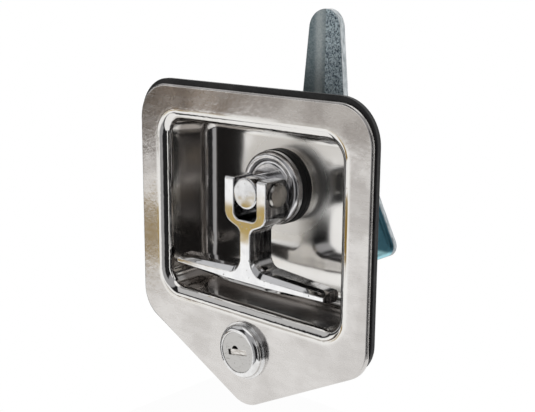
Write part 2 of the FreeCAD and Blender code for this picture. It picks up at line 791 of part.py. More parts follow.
def make_lock_plug():
    """Turning plug: face, keyway, wafer slots, spring pockets, square tail and screw hole."""
    head = rod(plug_head_radius, plug_front, plug_head_end, 0, lock_centre)
    core = rod(plug_core_radius, plug_head_end, lock_body_back + tail_shoulder_gap, 0, lock_centre)
    tail = square_bar(tail_square, plug_core_radius, lock_body_back + tail_shoulder_gap,
                      pawl_back - free_gap, lock_centre)
    plug = head.fuse(core)
    half_w = keyway_width / 2
    half_h = keyway_height / 2
    plug = plug.cut(box(-half_w, half_w, plug_front - 1, plug_front + shutter_recess + 1,
                        lock_centre - half_h, lock_centre + half_h))
    pocket_half = half_w + shutter_gap
    plug = plug.cut(box(-pocket_half, pocket_half, plug_front + shutter_recess,
                        plug_front + shutter_recess + shutter_pocket_depth,
                        lock_centre - half_h - shutter_barrel, lock_centre + half_h))
    plug = plug.cut(rod(notch_radius, plug_front - 1, plug_front + notch_depth, -notch_offset,
                        lock_centre + half_h - notch_rise))
    half_blade = key_blade_width / 2
    half_blade_h = key_blade_height / 2
    plug = plug.cut(box(-half_blade, half_blade, plug_front, plug_front + key_depth,
                        lock_centre - half_blade_h, lock_centre + half_blade_h))
    slot_half = wafer_height / 2 + wafer_fit
    pocket_r = wafer_spring_diameter / 2 + wafer_spring_gap
    spring_z = spring_height()
    spring_half = wafer_spring_length / 2 + wafer_spring_gap
    for front in wafer_fronts():
        plug = plug.cut(box(-plug_core_diameter, plug_core_diameter, front - wafer_fit,
                            front + wafer_thickness + wafer_fit, lock_centre - slot_half,
                            lock_centre + slot_half))
        middle = front + wafer_thickness / 2
        plug = plug.cut(Part.makeCylinder(pocket_r, 2 * spring_half, vec(-spring_half, middle, spring_z),
                                          vec(1, 0, 0)))
    return at_plug_rest(plug).fuse(tail).cut(rod(screw_radius + running_fit, pawl_back - pawl_screw_length,
                                                 pawl_back + 1, 0, lock_centre))


def at_plug_rest(shape):
    """Turns a piece of the plug to where its keyway stands in the resting pose."""
    shape.rotate(vec(0, 0, lock_centre), ALONG_Y, -plug_rest_turn)
    return shape


def spring_height():
    return lock_centre + wafer_height / 2 + wafer_spring_diameter / 2 + wafer_spring_gap + 0.15


def make_wafers():
    """Brass wafers drawn back flush, as they stand with the key in."""
    wafers = []
    for front in wafer_fronts():
        back = front + wafer_thickness
        plate = box(-wafer_length / 2, wafer_length / 2, front, back, lock_centre - wafer_height / 2,
                    lock_centre + wafer_height / 2)
        plate = plate.common(rod(plug_core_radius - wafer_fit, front, back, 0, lock_centre))
        window_half = key_blade_width / 2 - 1.0
        window_height = key_blade_height / 2 + 0.2
        wafers.append(plate.cut(box(-window_half, window_half, front - 1, back + 1,
                                    lock_centre - window_height, lock_centre + window_height)))
    return at_plug_rest(Part.makeCompound(wafers))


def make_wafer_springs():
    """One small coil spring beside each wafer, drawn as its outer envelope."""
    springs = []
    for front in wafer_fronts():
        middle = front + wafer_thickness / 2
        springs.append(Part.makeCylinder(wafer_spring_diameter / 2, wafer_spring_length,
                                         vec(-wafer_spring_length / 2, middle, spring_height()),
                                         vec(1, 0, 0)))
    return at_plug_rest(Part.makeCompound(springs))


def shutter_hinge():
    """The shutter's hinge line below the keyway: its y and z before the plug's resting turn."""
    radius = shutter_barrel / 2 - shutter_gap
    return (plug_front + shutter_recess + radius + shutter_gap,
            lock_centre - keyway_height / 2 - shutter_barrel / 2)


def make_dust_shutter():
    """Sprung flap behind the keyway that the key pushes in."""
    hinge_y, hinge_z = shutter_hinge()
    radius = shutter_barrel / 2 - shutter_gap
    half = keyway_width / 2 - shutter_gap
    barrel = Part.makeCylinder(radius, 2 * half, vec(-half, hinge_y, hinge_z), vec(1, 0, 0))
    front = hinge_y - radius
    flap = box(-half, half, front, front + shutter_thickness,
               hinge_z, lock_centre + keyway_height / 2 - shutter_gap)
    return at_plug_rest(barrel.fuse(flap))


def make_lock_nut():
    nut = hexagon(lock_nut_width, flange_back, flange_back + lock_nut_thickness, 0, lock_centre)
    return nut.cut(rod(lock_body_radius + running_fit, flange_back - 1,
                       flange_back + lock_nut_thickness + 1, 0, lock_centre))


def make_lock_pawl():
    """Cranked pawl: a keyed hub, a ramp and a tip in the plane of the cam's lobe."""
    ramp_end = pawl_ramp_start + pawl_ramp_run
    rise = pawl_tip_front - pawl_front
    ramp_length = math.hypot(pawl_ramp_run, rise)
    shift = pawl_thickness * (ramp_length - pawl_ramp_run) / rise
    side = [(pawl_heel, pawl_front), (pawl_heel, pawl_back), (-pawl_ramp_start + shift, pawl_back),
            (-ramp_end + shift, pawl_tip_front + pawl_thickness),
            (-pawl_length, pawl_tip_front + pawl_thickness), (-pawl_length, pawl_tip_front),
            (-ramp_end, pawl_tip_front), (-pawl_ramp_start, pawl_front)]
    points = [vec(x, y, lock_centre - pawl_width) for x, y in side]
    strip = Part.Face(Part.makePolygon(points + [points[0]])).extrude(vec(0, 0, 2 * pawl_width))
    half = pawl_width / 2
    half_tip = pawl_tip_width / 2
    plan = rounded_outline([(pawl_heel, lock_centre + half, half * 0.98),
                            (pawl_heel, lock_centre - half, half * 0.98),
                            (-pawl_ramp_start, lock_centre - half, 0),
                            (-pawl_length, lock_centre - half_tip, 2.0),
                            (-pawl_length, lock_centre + half_tip, 2.0),
                            (-pawl_ramp_start, lock_centre + half, 0)], pawl_front - 1)
    pawl = strip.common(prism(plan, rise + pawl_thickness + 2))
    return pawl.cut(square_bar(tail_square + 2 * square_fit, plug_core_radius, pawl_front - 1,
                               pawl_back + 1, lock_centre))


def make_pawl_washer():
    washer = rod(pawl_washer_diameter / 2, pawl_back, pawl_back + pawl_washer_thickness, 0, lock_centre)
    return washer.cut(rod(screw_radius + thread_clearance, pawl_back - 1,
                          pawl_back + pawl_washer_thickness + 1, 0, lock_centre))


def make_pawl_screw():
    """Pan-head screw into the plug's tail."""
    seat = pawl_back + pawl_washer_thickness
    top = seat + pawl_screw_head_height
    head = rod(pawl_screw_head_diameter / 2, seat, top, 0, lock_centre)
    head = head.makeFillet(0.9, [e for e in head.Edges if abs(e.BoundBox.YMin - top) < 1e-4])
    head = head.cut(box(-pawl_screw_slot / 2, pawl_screw_slot / 2, top - pawl_screw_slot, top + 1,
                        lock_centre - pawl_screw_head_diameter, lock_centre + pawl_screw_head_diameter))
    return head.fuse(rod(screw_radius, seat - pawl_screw_length + 0.5, seat, 0, lock_centre))


os.makedirs("parts", exist_ok=True)
export(make_face_pan(), "face_pan")
export(make_rim_gasket(), "rim_gasket")
export(make_spindle_bushing(), "spindle_bushing")
export(make_tooth_washer(), "bushing_tooth_washer")
export(make_bushing_nut(), "bushing_nut")
export(make_seal(), "seal_ring")
export(make_cup_washer(), "cup_washer")
export(make_spindle(), "spindle")
export(make_o_ring(), "spindle_o_ring")
export(make_pivot_pin(), "pivot_pin")
export(make_t_handle(), "t_handle")
export(make_stop_washer(), "stop_washer")
export(make_cam_arm(), "cam_arm")
export(make_cam_washer(), "cam_washer")
export(make_split_washer(), "cam_spring_washer")
export(make_cam_nut(), "cam_nut")
export(make_lock_housing(), "lock_housing")
export(make_lock_bezel(), "lock_bezel")
export(make_lock_plug(), "lock_plug")
export(make_dust_shutter(), "dust_shutter")
export(make_wafers(), "lock_wafers")
export(make_wafer_springs(), "wafer_springs")
export(make_lock_nut(), "lock_nut")
export(make_lock_pawl(), "lock_pawl")
export(make_pawl_washer(), "pawl_washer")
export(make_pawl_screw(), "pawl_screw")
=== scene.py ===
import math

import bpy
from mathutils import Matrix, Vector


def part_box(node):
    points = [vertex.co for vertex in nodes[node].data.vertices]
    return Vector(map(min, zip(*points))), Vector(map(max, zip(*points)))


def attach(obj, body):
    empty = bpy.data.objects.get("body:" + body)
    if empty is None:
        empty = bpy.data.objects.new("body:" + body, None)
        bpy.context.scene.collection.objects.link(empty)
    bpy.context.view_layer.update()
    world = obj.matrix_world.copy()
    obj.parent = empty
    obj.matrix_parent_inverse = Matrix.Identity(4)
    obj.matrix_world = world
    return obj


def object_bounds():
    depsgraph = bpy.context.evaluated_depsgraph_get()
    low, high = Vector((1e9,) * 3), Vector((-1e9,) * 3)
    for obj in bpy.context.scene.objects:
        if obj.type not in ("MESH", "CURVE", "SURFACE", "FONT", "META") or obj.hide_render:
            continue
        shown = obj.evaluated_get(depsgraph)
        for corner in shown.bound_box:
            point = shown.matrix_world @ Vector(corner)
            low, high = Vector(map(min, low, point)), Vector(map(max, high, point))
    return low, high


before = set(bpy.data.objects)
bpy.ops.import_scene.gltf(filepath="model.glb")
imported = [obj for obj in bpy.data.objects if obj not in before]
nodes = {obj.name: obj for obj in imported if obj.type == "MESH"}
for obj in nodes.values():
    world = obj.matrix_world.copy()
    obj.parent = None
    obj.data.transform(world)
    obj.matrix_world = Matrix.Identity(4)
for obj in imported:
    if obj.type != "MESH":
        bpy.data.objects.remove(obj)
cad_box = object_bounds()

# The camera: its place and its lens are solved on the plate's outline, the pan's mouth, the handle and
# the cam. The turn is to the right of the latch's front, and the tilt looks down on it.
camera_place = Vector((0.24001, -0.25724, 0.07557))
camera_turn = math.radians(42.0525)
camera_tilt = math.radians(12.9207)
camera_roll = math.radians(-0.3551)
lens_mm, sensor_mm = 65.734, 36.0
nearest_seen, farthest_seen = 0.01, 50.0

away = Vector((math.sin(camera_turn) * math.cos(camera_tilt),
               -math.cos(camera_turn) * math.cos(camera_tilt),
               math.sin(camera_tilt)))
level_right = Vector((math.cos(camera_turn), math.sin(camera_turn), 0))
level_up = away.cross(level_right)
right = math.cos(camera_roll) * level_right - math.sin(camera_roll) * level_up
up = math.sin(camera_roll) * level_right + math.cos(camera_roll) * level_up
camera = bpy.data.objects.new("camera", bpy.data.cameras.new("camera"))
bpy.context.scene.collection.objects.link(camera)
camera.matrix_world = Matrix.Translation(camera_place) @ Matrix((right, up, away)).transposed().to_4x4()
camera.data.lens = lens_mm
camera.data.sensor_width = sensor_mm
camera.data.clip_start, camera.data.clip_end = nearest_seen, farthest_seen
bpy.context.scene.camera = camera
bpy.context.scene.view_settings.view_transform = "Standard"


# The studio: a dim room with white screens in front, behind and overhead, grey walls between them and
# small boards low at the left. Polished metal shows them as its dark bands and its grey and ochre
# streaks, and everything dull gets plain white light. The latch hangs over a sheet of white paper.
class Wire:
    """An output socket of a node. Arithmetic on it adds nodes to the same tree."""

    def __init__(self, tree, socket=None):
        self.tree, self.socket = tree, socket

    def node(self, kind, settings=None, sockets=None, out=0):
        """Adds a node, sets it up, fills or links its sockets and returns one output."""
        made = self.tree.nodes.new(kind)
        for name, value in (settings or {}).items():
            setattr(made, name, value)
        for name, value in (sockets or {}).items():
            if isinstance(value, Wire):
                self.tree.links.new(value.socket, made.inputs[name])
            else:
                made.inputs[name].default_value = value
        return Wire(self.tree, made.outputs[out] if len(made.outputs) else None)

    def math(self, operation, first, second=0.0, clamp=False):
        return self.node("ShaderNodeMath", {"operation": operation, "use_clamp": clamp},
                         {0: first, 1: second})

    def __add__(self, other):
        return self.math("ADD", self, other)

    def __mul__(self, other):
        return self.math("MULTIPLY", self, other)

    def __sub__(self, other):
        return self.math("SUBTRACT", self, other)

    def __rsub__(self, other):
        return self.math("SUBTRACT", other, self)

    __radd__, __rmul__ = __add__, __mul__

    def step(self, low, high, to_low=0.0, to_high=1.0):
        """Goes smoothly from to_low to to_high as this value goes from low to high."""
        return self.node("ShaderNodeMapRange", {"interpolation_type": "SMOOTHSTEP"},
                         {"Value": self, "From Min": low, "From Max": high,
                          "To Min": to_low, "To Max": to_high})

    def mix(self, first, second):
        """A colour between first and second, by this value."""
        return self.node("ShaderNodeMix", {"data_type": "RGBA"}, {0: self, 6: first, 7: second}, out=2)

    def stretch(self, x, y, z):
        """This vector with its parts multiplied, which draws a pattern out along the smallest."""
        return self.node("ShaderNodeVectorMath", {"operation": "MULTIPLY"}, {0: self, 1: (x, y, z)})

    def other(self, name):
        """Another output of the node that this socket belongs to."""
        return Wire(self.tree, self.socket.node.outputs[name])

    def axes(self):
        """The x, y and z of a vector."""
        split = self.tree.nodes.new("ShaderNodeSeparateXYZ")
        self.tree.links.new(self.socket, split.inputs[0])
        return [Wire(self.tree, split.outputs[i]) for i in range(3)]


def paint(red, green, blue):
    return (red, green, blue, 1.0)


def new_look(name):
    """An empty material and the wire that adds nodes to it."""
    material = bpy.data.materials.new(name)
    material.use_nodes = True
    material.node_tree.nodes.clear()
    return material, Wire(material.node_tree)


white = paint(1.0, 1.0, 1.0)
dim_room = paint(0.015, 0.015, 0.016)
grey_wall, shaded_wall = paint(0.55, 0.55, 0.56), paint(0.36, 0.36, 0.37)
pale_board, grey_board = paint(0.56, 0.535, 0.51), paint(0.40, 0.365, 0.335)
beige_board, brown_board = paint(0.26, 0.195, 0.14), paint(0.07, 0.048, 0.032)
ochre_board, olive_board = paint(0.46, 0.33, 0.11), paint(0.27, 0.17, 0.03)
plain_light = 0.9

world = bpy.data.worlds.new("studio")
bpy.context.scene.world = world
world.use_nodes = True
world.node_tree.nodes.clear()
sky = Wire(world.node_tree)
look_x, look_y, look_z = sky.node("ShaderNodeTexCoord").axes()
azimuth = sky.math("DEGREES", sky.math("ARCTAN2", look_x, 0.0 - look_y))
elevation = sky.math("DEGREES", sky.math("ARCSINE", look_z))


def panel(azimuths, elevations, softness):
    """1 inside a rectangular panel of the room and 0 outside, in degrees; azimuth 0 is straight in front."""
    (left, right_side), (low, high) = azimuths, elevations
    across = azimuth.step(left - softness, left) * azimuth.step(right_side, right_side + softness, 1.0, 0.0)
    upward = elevation.step(low - softness, low) * elevation.step(high, high + softness, 1.0, 0.0)
    return across * upward


room = dim_room
for colour, azimuths, elevations, softness in (
        (white, (-67, -14), (-27, 12), 5),              # the large screen at the left front
        (white, (-190, -118), (-27, 52), 8),            # the screen behind, its left half
        (grey_wall, (-92, -86), (-27, 40), 3),          # a strip of wall at the left
        (white, (124, 190), (-27, 52), 6),              # the screen behind, its right half
        (shaded_wall, (-14, 12), (-27, 60), 8),         # the wall in front
        (shaded_wall, (8, 112), (28, 60), 8),           # the wall high at the right
        (grey_wall, (-120, -46), (26, 60), 4),          # the wall high at the left
        (white, (66, 72), (-40, 45), 2),                # a narrow strip of light at the right
        (white, (100, 108), (-30, 60), 4),              # a second strip, farther round
        (white, (-190, 190), (66, 95), 5),              # the screen overhead
        (pale_board, (-41.2, -30), (-9.3, -1), 1.0),    # the boards that the plate's top edge shows
        (grey_board, (-44.6, -41.6), (-7.7, -1), 0.4),
        (beige_board, (-66, -44.8), (-8.2, -1), 0.4),
        (ochre_board, (-66, -46.5), (-15.8, -13.0), 0.7),
        (ochre_board, (-47.5, -41.5), (-14.7, -13.2), 0.7),    # the board that the handle's front shows
        (brown_board, (-66, -47.8), (-9.2, -1), 0.4),   # the boards that the plate's left edge shows
        (olive_board, (-66, -47.8), (-16.1, -13.0), 0.4)):
    room = panel(azimuths, elevations, softness).mix(room, colour)
camera_ray = sky.node("ShaderNodeLightPath")
seen_ray = sky.math("ADD", camera_ray + camera_ray.other("Is Glossy Ray"),
                    camera_ray.other("Is Transmission Ray"), clamp=True)
plain = sky.node("ShaderNodeBackground", {}, {"Color": white, "Strength": plain_light})
seen = sky.node("ShaderNodeBackground", {}, {"Color": camera_ray.mix(room, white), "Strength": 1.0})
lit = sky.node("ShaderNodeMixShader", {}, {0: seen_ray, 1: plain, 2: seen})
sky.node("ShaderNodeOutputWorld", {}, {"Surface": lit})

paper_drop, paper_half, paper_glow, paper_tone = 0.25, 0.45, 0.9, 0.9
paper_z = cad_box[0].z - paper_drop
paper_mesh = bpy.data.meshes.new("studio_floor")
paper_mesh.from_pydata([(-paper_half, -paper_half, paper_z), (paper_half, -paper_half, paper_z),
                        (paper_half, paper_half, paper_z), (-paper_half, paper_half, paper_z)],
                       [], [(0, 1, 2, 3)])
paper = bpy.data.objects.new("studio_floor", paper_mesh)
bpy.context.scene.collection.objects.link(paper)
paper_look, wire = new_look("studio_floor")
camera_ray = wire.node("ShaderNodeLightPath")
seen_ray = wire.math("ADD", camera_ray + camera_ray.other("Is Glossy Ray"),
                     camera_ray.other("Is Transmission Ray"), clamp=True)
plain = wire.node("ShaderNodeBsdfDiffuse", {}, {"Color": paint(paper_tone, paper_tone, paper_tone)})
seen = wire.node("ShaderNodeEmission", {}, {"Color": white, "Strength": 1.0})
lit = wire.node("ShaderNodeMixShader", {}, {0: seen_ray * paper_glow, 1: plain, 2: seen})
wire.node("ShaderNodeOutputMaterial", {}, {"Surface": lit})
paper_mesh.materials.append(paper_look)


# The face plate and pan: one sheet of stainless steel, drawn into a pan with a rolled mouth.
# The flange is satin and rubbed cloudy, its dark patches stronger towards the top. The pan is buffed; its
# walls are painted darker than its floor as painted shade, and the floor is duller round the bushing, where
# grit and hands have scuffed it.
def own_place(wire):
    """The point on the piece itself, in metres."""
    return wire.node("ShaderNodeTexCoord", out=3)


def from_axis(place, axis_height=0.0):
    """The distance from a line along Y at the given height."""
    x, y, z = place.axes()
    upward = z - axis_height
    return place.math("SQRT", x * x + upward * upward)


def cloud(place, size, detail=3.0):
    """Soft noise around a half, with features of about the given size in metres."""
    return place.node("ShaderNodeTexNoise", {}, {"Vector": place, "Scale": 1 / size, "Detail": detail})


def relief(wire, height, depth, edge):
    """A normal with the height's relief, this deep in metres, and with edges rounded by this radius."""
    rounded = wire.node("ShaderNodeBevel", {"samples": 4}, {"Radius": edge})
    return wire.node("ShaderNodeBump", {}, {"Height": height, "Distance": depth, "Strength": 1.0,
                                            "Normal": rounded})


def surface(wire, sockets, second=None, share=0.0):
    """Ends a material in one Principled shader, or in two mixed by the share of the second."""
    shader = wire.node("ShaderNodeBsdfPrincipled", {}, sockets)
    if second is not None:
        other = wire.node("ShaderNodeBsdfPrincipled", {}, second)
        shader = wire.node("ShaderNodeMixShader", {}, {0: share, 1: shader, 2: other})
    wire.node("ShaderNodeOutputMaterial", {}, {"Surface": shader})


def dress(node, material):
    """Gives a CAD node its material."""
    slots = nodes[node].data.materials
    if len(slots) == 0:
        slots.append(material)
    for i in range(len(slots)):
        slots[i] = material


mouth_half_width, mouth_half_height, mouth_middle, mouth_round = 0.0475, 0.03805, -0.01015, 0.011
mouth_edge_inner, mouth_edge_outer = -0.0002, 0.0012
wall_width, wall_start, wall_full = 0.009, 0.002, 0.005
floor_start, floor_full = 0.008, 0.017
scuff_inner, scuff_outer = 0.017, 0.026
dark_patch_size, dark_patch_low, dark_patch_high = 0.016, -0.075, 0.02
rub_size, grain_size, wave_size, buff_size = 0.009, 0.0016, 0.014, 0.02
satin_pale, satin_rubbed = paint(0.74, 0.72, 0.70), paint(0.48, 0.455, 0.435)
buffed_pale, buffed_grey = paint(0.84, 0.83, 0.81), paint(0.74, 0.72, 0.69)
painted_wall_shade = paint(0.40, 0.37, 0.35)

pan_look, wire = new_look("satin_stainless_plate_and_buffed_pan")
place = own_place(wire)
x, y, z = place.axes()
# How far a point is outside the mouth's outline: above 0 on the flange, below 0 in the pan.
across = wire.math("ABSOLUTE", x) - (mouth_half_width - mouth_round)
upward = wire.math("ABSOLUTE", z - mouth_middle) - (mouth_half_height - mouth_round)
corner_x, corner_z = wire.math("MAXIMUM", across, 0.0), wire.math("MAXIMUM", upward, 0.0)
outside = wire.math("SQRT", corner_x * corner_x + corner_z * corner_z) - mouth_round
outside = outside + wire.math("MINIMUM", wire.math("MAXIMUM", across, upward), 0.0)
flange = outside.step(mouth_edge_inner, mouth_edge_outer)
floor = y.step(floor_start, floor_full)
# Painted shade: this wall mask paints the pan's walls darker than its floor, and also makes them a little
# rougher.
wall = outside.step(-wall_width, -0.5 * wall_width) * y.step(wall_start, wall_full)
scuffed = floor * from_axis(place).step(scuff_inner, scuff_outer, 1.0, 0.0)
# The flange's dark cloudy patches grow stronger towards the top.
dark_patch = cloud(place, dark_patch_size, 4.0).step(0.44, 0.62) * z.step(dark_patch_low, dark_patch_high, 0.35, 1.0)
rub = cloud(place.stretch(1.0, 1.0, 3.0), rub_size, 5.0)
grain = cloud(place, grain_size, 2.0)
satin = (dark_patch * 0.6 + rub * 0.4).mix(satin_pale, satin_rubbed)
# The walls get the painted wall shade here.
buffed = wall.mix(cloud(place, buff_size, 2.0).mix(buffed_pale, buffed_grey), painted_wall_shade)
shape = relief(wire, cloud(place, wave_size, 1.0) + flange * (grain * 0.25), 0.00009, 0.0003)
gloss = flange * 0.05 + floor * 0.05 + scuffed * 0.20 + wall * 0.10 + (0.05 + 0.03 * grain)
surface(wire,
        {"Base Color": flange.mix(buffed, satin), "Metallic": 1.0, "Roughness": gloss, "Normal": shape},
        {"Base Color": satin, "Metallic": 1.0, "Roughness": rub * 0.15 + 0.20, "Normal": shape},
        flange * rub.step(0.30, 0.70, 0.08, 0.30))
dress("face_pan", pan_look)


# The rim gasket: one moulded black rubber frame squeezed between the plate and the door.
# Its skin is faintly grained from the mould, and dust sits in the grain.
def rubber_look(name, grain_size, dust):
    """Black rubber with a grained skin and patches of dust, as strong as the dust says."""
    black, dusty = paint(0.006, 0.006, 0.007), paint(0.035, 0.034, 0.032)
    patch_size = 0.012
    material, wire = new_look(name)
    place = own_place(wire)
    grain = cloud(place, grain_size, 4.0)
    patch = cloud(place, patch_size, 3.0).step(0.45, 0.75)
    surface(wire, {"Base Color": (patch * dust).mix(black, dusty), "Roughness": grain * 0.25 + 0.36,
                   "Specular IOR Level": 0.35, "Normal": relief(wire, grain, 0.00012, 0.0003)})
    return material


dress("rim_gasket", rubber_look("gasket_rubber", 0.0009, 0.5))


# The spindle bushing: a turned steel sleeve with a flange, held through the pan's floor by a nut.
# The flange shows fine rings from the lathe, and the sleeve's outside is threaded for the nut.
def turned_rings(place, axis_height, pitch):
    """Noise in rings round a line along Y at the given height, as a lathe leaves on faces and barrels."""
    barrel_share = 0.3
    travel = from_axis(place, axis_height) + barrel_share * place.axes()[1]
    return place.node("ShaderNodeTexNoise", {"noise_dimensions": "1D"},
                      {"W": travel * (1 / pitch), "Scale": 1.0, "Detail": 2.0})


def turned_look(name, bright, dull, roughness, axis_height=0.0, pitch=0.00025):
    """Turned or pressed metal with lathe rings and slightly cloudy plating."""
    stain_size, ring_depth, edge = 0.006, 0.000012, 0.0002
    material, wire = new_look(name)
    place = own_place(wire)
    rings = turned_rings(place, axis_height, pitch)
    stain = cloud(place, stain_size, 4.0)
    surface(wire, {"Base Color": stain.step(0.35, 0.75).mix(paint(*bright), paint(*dull)), "Metallic": 1.0,
                   "Roughness": stain * 0.12 + (rings * 0.08 + roughness),
                   "Normal": relief(wire, rings, ring_depth, edge)})
    return material


def wound_ridge():
    """Geometry nodes that wind a round ridge about a line along Y and press it flat at both sides."""
    corners_per_turn, section_corners = 40, 8
    tree = bpy.data.node_groups.new("wound_ridge", "GeometryNodeTree")
    for name in ("Radius", "Turns", "Length", "Start", "Middle Height", "Ridge Radius", "Flat Half Width"):
        tree.interface.new_socket(name=name, in_out="INPUT", socket_type="NodeSocketFloat")
    tree.interface.new_socket(name="Material", in_out="INPUT", socket_type="NodeSocketMaterial")
    tree.interface.new_socket(name="Geometry", in_out="OUTPUT", socket_type="NodeSocketGeometry")
    wire = Wire(tree)
    given = wire.node("NodeGroupInput")
    line = wire.node("GeometryNodeCurveSpiral", {}, {
        "Resolution": corners_per_turn, "Rotations": given.other("Turns"), "Height": given.other("Length"),
        "Start Radius": given.other("Radius"), "End Radius": given.other("Radius")})
    section = wire.node("GeometryNodeCurvePrimitiveCircle", {}, {
        "Resolution": section_corners, "Radius": given.other("Ridge Radius")})
    ridge = wire.node("GeometryNodeCurveToMesh", {}, {
        "Curve": line, "Profile Curve": section, "Fill Caps": True})
    foot = wire.node("ShaderNodeCombineXYZ", {}, {1: given.other("Start"), 2: given.other("Middle Height")})
    ridge = wire.node("GeometryNodeTransform", {}, {
        "Geometry": ridge, "Translation": foot, "Rotation": (-math.pi / 2, 0, 0)})
    x, y, z = wire.node("GeometryNodeInputPosition").axes()
    flat = given.other("Flat Half Width")
    pressed = wire.math("MAXIMUM", wire.math("MINIMUM", x, flat), 0.0 - flat)
    ridge = wire.node("GeometryNodeSetPosition", {}, {
        "Geometry": ridge, "Position": wire.node("ShaderNodeCombineXYZ", {}, {0: pressed, 1: y, 2: z})})
    ridge = wire.node("GeometryNodeSetShadeSmooth", {}, {"Geometry": ridge})
    ridge = wire.node("GeometryNodeRealizeInstances", {}, {"Geometry": ridge})
    ridge = wire.node("GeometryNodeSetMaterial", {}, {"Geometry": ridge, "Material": given.other("Material")})
    wire.node("NodeGroupOutput", {}, {0: ridge})
    return tree


thread_winding = wound_ridge()
# A half width that is wider than any thread, so that its ridge stays round.
no_flats = 1.0


def thread(name, body, material, radius, pitch, start, end, axis_height=0.0, flat_half_width=no_flats):
    """The ridge of a screw thread on a CAD shank of that radius, from start to end along Y."""
    ridge_radius, stand_out = 0.32 * pitch, 0.18 * pitch
    maker = bpy.data.objects.new(name + "_maker", bpy.data.meshes.new(name + "_maker"))
    bpy.context.scene.collection.objects.link(maker)
    modifier = maker.modifiers.new("wound_ridge", "NODES")
    modifier.node_group = thread_winding
    values = {"Radius": radius - ridge_radius + stand_out, "Turns": (end - start) / pitch,
              "Length": end - start, "Start": start, "Middle Height": axis_height,
              "Ridge Radius": ridge_radius, "Flat Half Width": flat_half_width, "Material": material}
    for item in thread_winding.interface.items_tree:
        if item.in_out == "INPUT":
            modifier[item.identifier] = values[item.name]
    mesh = bpy.data.meshes.new_from_object(maker.evaluated_get(bpy.context.evaluated_depsgraph_get()))
    bpy.data.objects.remove(maker)
    mesh.name = name
    piece = bpy.data.objects.new(name, mesh)
    bpy.context.scene.collection.objects.link(piece)
    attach(piece, body)


def back_of(node):
    """How far back a CAD node reaches, along Y, to the nearest micrometre."""
    digits = 6
    return round(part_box(node)[1].y, digits)


bushing_look = turned_look("turned_bushing_steel", (0.80, 0.78, 0.75), (0.56, 0.54, 0.51), 0.14)
dress("spindle_bushing", bushing_look)
bushing_radius, bushing_pitch = 0.009, 0.0015
nut_clearance, end_clearance = 0.0003, 0.0004
thread("bushing_thread", "pan", bushing_look, bushing_radius, bushing_pitch,
       back_of("bushing_nut") + nut_clearance, back_of("spindle_bushing") - end_clearance)


# The tooth washer under the bushing's nut: thin spring steel with bent teeth, zinc plated.
# The plating is thin and slightly smoky.
dress("bushing_tooth_washer", turned_look("smoky_tooth_washer", (0.50, 0.49, 0.47), (0.28, 0.27, 0.26), 0.24))


# The bushing's nut: a hexagon nut pressed and tapped from bar, zinc plated.
# Zinc dulls unevenly, greyer where fingers and tools have rubbed it.
def zinc_look(name, bright, dull, roughness, patch_size=0.004):
    """Zinc plating: pale with a cool cast, cloudy, with a fine crystalline sparkle."""
    sparkle_size, sparkle_depth, edge = 0.0004, 0.00002, 0.0003
    material, wire = new_look(name)
    place = own_place(wire)
    patch = cloud(place, patch_size, 5.0).step(0.35, 0.70)
    sparkle = cloud(place, sparkle_size, 1.0)
    surface(wire, {"Base Color": patch.mix(paint(*bright), paint(*dull)), "Metallic": 1.0,
                   "Roughness": patch * 0.14 + (sparkle * 0.10 + roughness),
                   "Normal": relief(wire, sparkle, sparkle_depth, edge)})
    return material


dress("bushing_nut", zinc_look("plated_bushing_nut", (0.60, 0.62, 0.63), (0.40, 0.41, 0.42), 0.22))


# The seal: a thick black rubber disc squeezed between the bushing's flange and the cup.
# It is smoother than the rim gasket, because it is cut from moulded rod.
dress("seal_ring", rubber_look("seal_rubber", 0.0006, 0.15))


# The lock's housing: a die-cast barrel with two flats, chrome plated and threaded for its nut.
# Only the part behind the plate shows, where the plating is thinner and greyer.
plug_low, plug_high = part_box("lock_plug")
lock_height = (plug_low.z + plug_high.z) / 2
barrel_radius, barrel_flat, barrel_pitch = 0.0094, 0.0080, 0.001
housing_look = turned_look("plated_lock_housing", (0.66, 0.66, 0.66), (0.46, 0.46, 0.47), 0.16, lock_height)
dress("lock_housing", housing_look)
thread("lock_barrel_thread", "pan", housing_look, barrel_radius, barrel_pitch,
       back_of("lock_nut") + nut_clearance, back_of("lock_housing") - end_clearance, lock_height, barrel_flat)


# The bezel: a thin stainless dome pressed over the lock's head and buffed bright.
# The buffing leaves it very slightly wavy all round.
bezel_ring_pitch, bezel_haze_size = 0.0012, 0.004
bezel_bright, bezel_dull = paint(0.86, 0.86, 0.86), paint(0.68, 0.67, 0.66)
bezel_look, wire = new_look("buffed_bezel")
place = own_place(wire)
rings = turned_rings(place, lock_height, bezel_ring_pitch)
haze = cloud(place, bezel_haze_size, 3.0)
surface(wire, {"Base Color": haze.step(0.3, 0.8).mix(bezel_bright, bezel_dull), "Metallic": 1.0,
               "Roughness": haze * 0.08 + 0.05, "Normal": relief(wire, rings * 0.3 + haze, 0.00002, 0.0005)})
dress("lock_bezel", bezel_look)


# The lock's nut: a thin hexagon nut behind the plate, zinc plated like the bushing's nut.
# It sits in the round hole of the gasket.
dress("lock_nut", zinc_look("plated_lock_nut", (0.58, 0.60, 0.61), (0.40, 0.41, 0.43), 0.24))


# The spindle: a steel bar with a flatted tongue, a square shank and a threaded end, chrome plated.
# Its front face is wavy from buffing, and small pits show in the plating.
def pits(place, size, share):
    """1 in small round pits in that share of the cells of the given size, 0 elsewhere."""
    pit_inner, pit_outer = 0.10, 0.28
    near = place.node("ShaderNodeTexVoronoi", {}, {"Vector": place, "Scale": 1 / size})
    chosen = near.other("Color").axes()[0].step(1 - share, 1 - 0.8 * share)
    return near.step(pit_inner, pit_outer, 1.0, 0.0) * chosen


